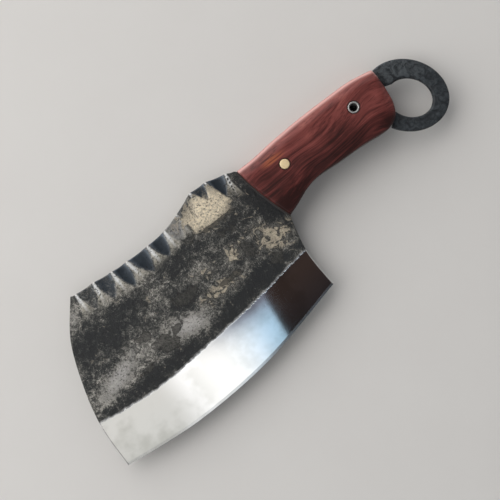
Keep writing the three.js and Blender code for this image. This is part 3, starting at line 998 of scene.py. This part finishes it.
# ---------------------------------------------------------------- light
def studio_world():
    """Soft light from low all round, more of it from the spine's side, under a dark ceiling that is brown
    above and turns navy where the heel end of the bevel mirrors it."""
    world = bpy.data.worlds.new("studio")
    n = Nodes(world)
    _, y, z = n.parts(n.add("TexCoord", "Generated"))
    walls = n.ramp(z, [(0.0, (0.8, 0.8, 0.81)), (0.3, (0.9, 0.9, 0.9)), (0.6, (0.5, 0.5, 0.5))])
    ceiling = n.ramp(
        n.step(y, -0.24, -0.05),
        [
            (0.0, (0.016, 0.024, 0.048)),
            (0.12, (0.040, 0.032, 0.034)),
            (0.4, (0.068, 0.045, 0.038)),
            (1.0, (0.05, 0.036, 0.034)),
        ],
    )
    colour = n.mix(n.step(z, 0.6, 0.85), walls, ceiling)
    n.fill(n.tree.nodes["Background"], Color=colour, Strength=n.step(y, -0.8, 0.8, 0.4, 1.15))
    bpy.context.scene.world = world


def area_lamp(name, location, size, power, colour=(1, 1, 1), aim=None):
    """A flat rectangular lamp that faces down, or towards a point."""
    light = bpy.data.lights.new(name, "AREA")
    light.shape = "RECTANGLE"
    light.size, light.size_y = size
    light.energy = power
    light.color = colour
    lamp = bpy.data.objects.new(name, light)
    lamp.location = location
    if aim:
        lamp.rotation_euler = (Vector(aim) - Vector(location)).to_track_quat("-Z", "Y").to_euler()
    bpy.context.scene.collection.objects.link(lamp)
    return lamp


def overhead_window():
    """The window that the bevel mirrors: off-white to one side, white in the middle and pale blue to the
    other. Along the border nearest to the blade the blue part is dimmed."""
    low, high, height = (-0.62, -0.85), (-0.0245, -0.13), 1.01  # two corners and the height, in metres
    size = (high[0] - low[0], high[1] - low[1])
    middle = ((low[0] + high[0]) / 2, (low[1] + high[1]) / 2, height)
    lamp = area_lamp("window", middle, size, math.pi * size[0] * size[1])
    n = Nodes(lamp.data)
    x, y, _ = n.parts(n.add("NewGeometry", "Position"))
    colour = n.mix(n.step(x, -0.29, -0.17), (0.80, 0.80, 0.76), (1.75, 1.75, 1.75))
    colour = n.mix(n.step(x, -0.17, -0.03), colour, (0.52, 0.78, 1.0))
    dimmed = n.mix(n.step(x, -0.22, -0.05), colour, (0.19, 0.22, 0.29))
    colour = n.mix(n.step(y, -0.155, -0.215), dimmed, colour)
    n.fill(n.tree.nodes["Emission"], Color=colour)


# ---------------------------------------------------------------- build
steel = forging()
upper = wood_scale("upper_scale_visual", 1)
lower = wood_scale("lower_scale_visual", -1)
upper_glue = glue_film("upper_glue_visual", 1)
lower_glue = glue_film("lower_glue_visual", -1)
pin = brass_pin()
tube = lanyard_tube()

PIECES = [
    (steel, "forged_blade", "forged_steel", forged_steel_material()),
    (upper, "upper_scale", "rosewood", wood_material("rosewood")),
    (lower, "lower_scale", "rosewood", wood_material("rosewood_lower")),
    (upper_glue, "upper_glue_line", "epoxy", glue_material()),
    (lower_glue, "lower_glue_line", "epoxy", glue_material()),
    (pin, "brass_pin", "brass", brass_material()),
    (tube, "lanyard_tube", "tube_steel", tube_material()),
]
for piece, node, slot, material in PIECES:
    piece.data.materials.clear()
    piece.data.materials.append(material)
    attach(piece, "root")
    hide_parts(node)

# ---------------------------------------------------------------- stage, light and camera
bpy.ops.mesh.primitive_plane_add(size=6, location=(0, 0, 0))
floor = bpy.context.object
floor.name = "floor"
floor.data.materials.append(floor_material())

studio_world()
overhead_window()
area_lamp("key", (-0.55, 0.9, 0.85), (2.8, 1.6), power=25, colour=(1.0, 0.97, 0.94), aim=(0.02, 0.0, 0.0))
bpy.context.scene.view_settings.view_transform = "Standard"

camera_data = bpy.data.cameras.new("camera")
camera_data.lens = LENS
camera = bpy.data.objects.new("camera", camera_data)
camera.location = (*VIEW_CENTRE, MID_PLANE * MM + CAMERA_HEIGHT)
camera.rotation_euler = (0, 0, math.radians(CAMERA_TURN))
bpy.context.scene.collection.objects.link(camera)
bpy.context.scene.camera = camera
